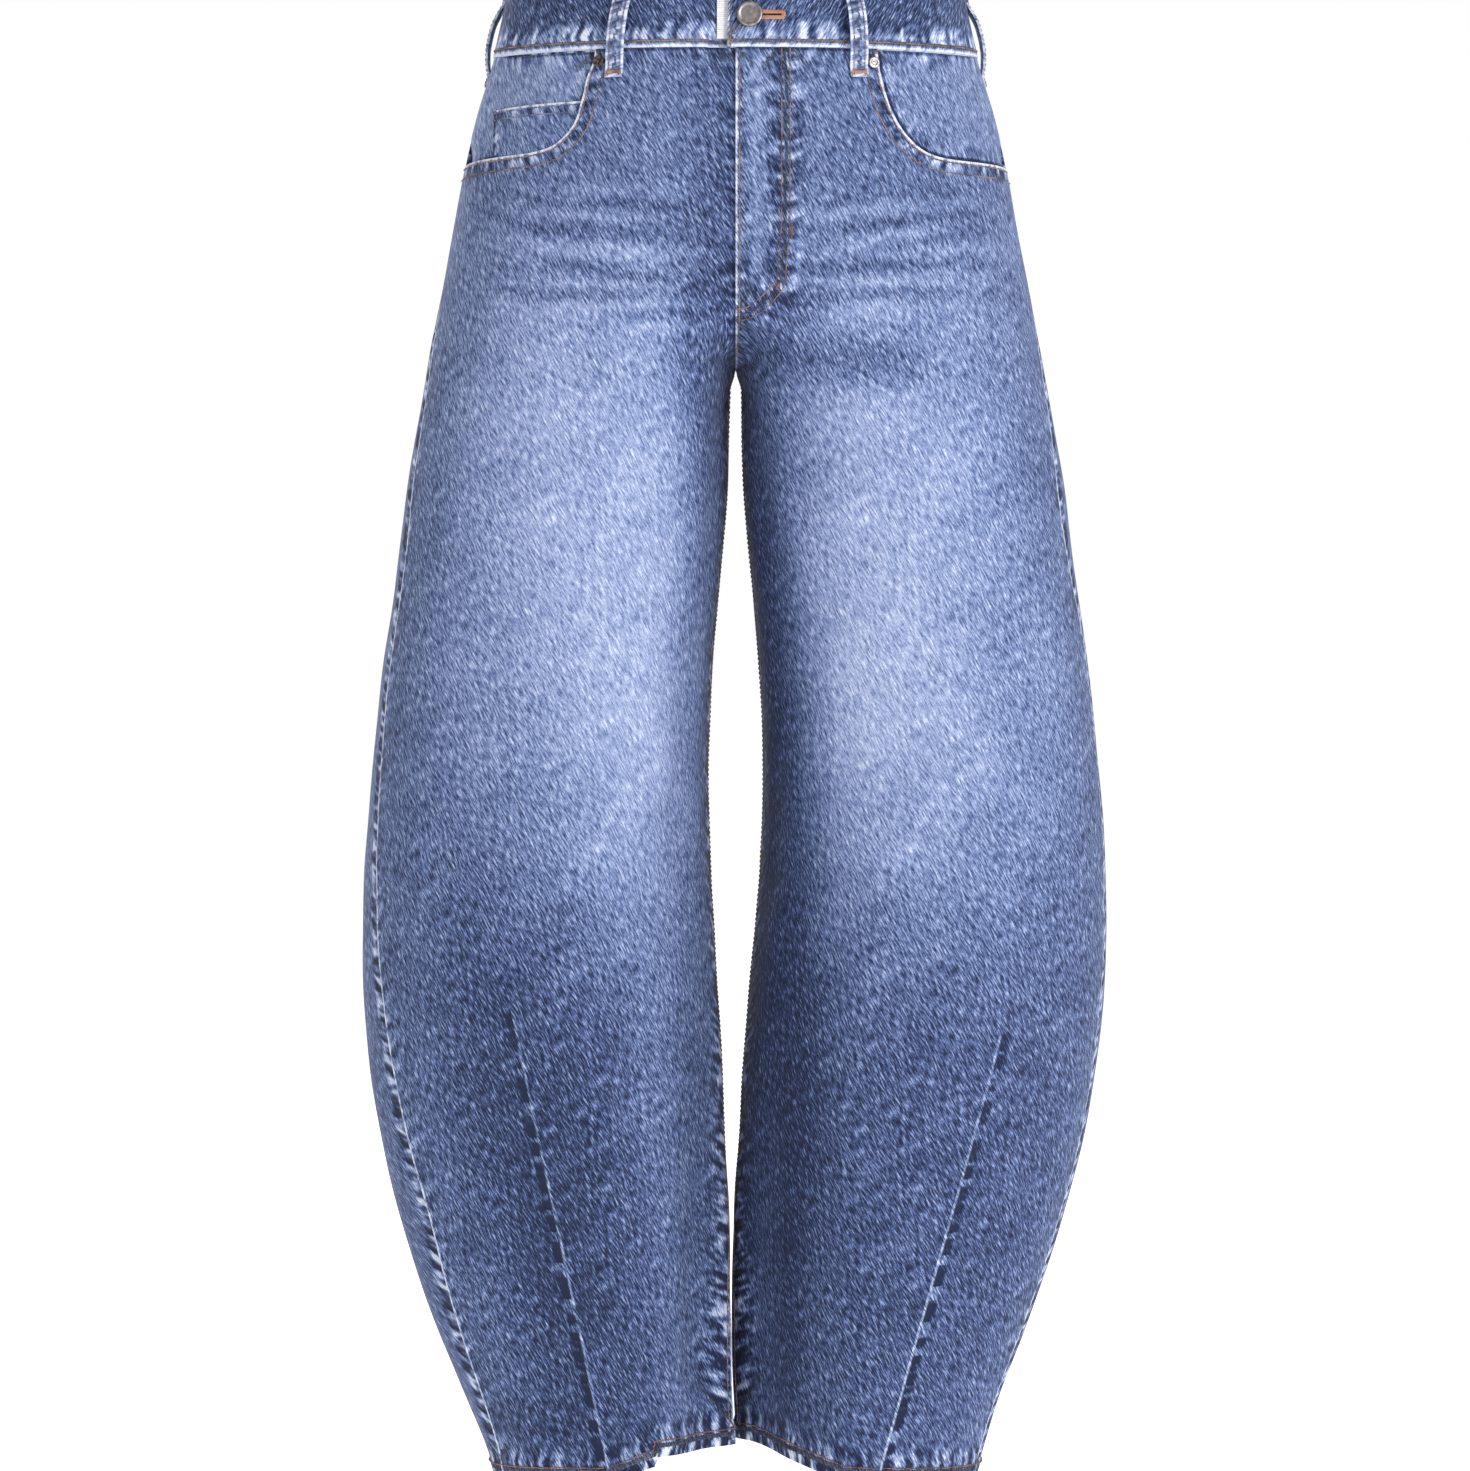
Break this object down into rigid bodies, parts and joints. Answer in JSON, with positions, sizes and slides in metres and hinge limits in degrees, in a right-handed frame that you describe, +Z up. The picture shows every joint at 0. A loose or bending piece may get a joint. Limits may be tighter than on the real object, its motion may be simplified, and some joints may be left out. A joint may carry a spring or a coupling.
{
  "type": "barrel leg trousers",
  "caption": "Full-length denim trousers with curved barrel legs, hip and coin pockets, belt loops, a fly and a button waist, filled out as when worn.",
  "frame": {"origin": "middle of the waist opening, level with the top edge of the waistband at the centre front", "axes": "+Z up out of the waist, -Y the way the front faces, +X towards the wearer's left"},
  "size_m": [0.4931, 0.2517, 0.9933],
  "materials": {
    "denim": "matte",
    "dark_denim": "matte",
    "button_metal": "satin",
    "rivet_metal": "satin",
    "tab_cloth": "matte"
  },
  "bodies": {
    "root": {"front_left": "denim", "back_left": "denim", "yoke_left": "denim", "pocket_facing_left": "denim", "back_pocket_left": "denim", "front_right": "denim", "back_right": "denim", "yoke_right": "denim", "pocket_facing_right": "denim", "back_pocket_right": "denim", "coin_pocket": "denim", "fly_facing": "denim", "fly_shield": "denim", "waistband": "dark_denim", "belt_loop_front_left": "denim", "belt_loop_front_right": "denim", "belt_loop_side_left": "denim", "belt_loop_side_right": "denim", "belt_loop_back": "denim", "button": "button_metal", "rivet_left": "rivet_metal", "rivet_right": "rivet_metal", "tab": "tab_cloth"}
  },
  "joints": []
}
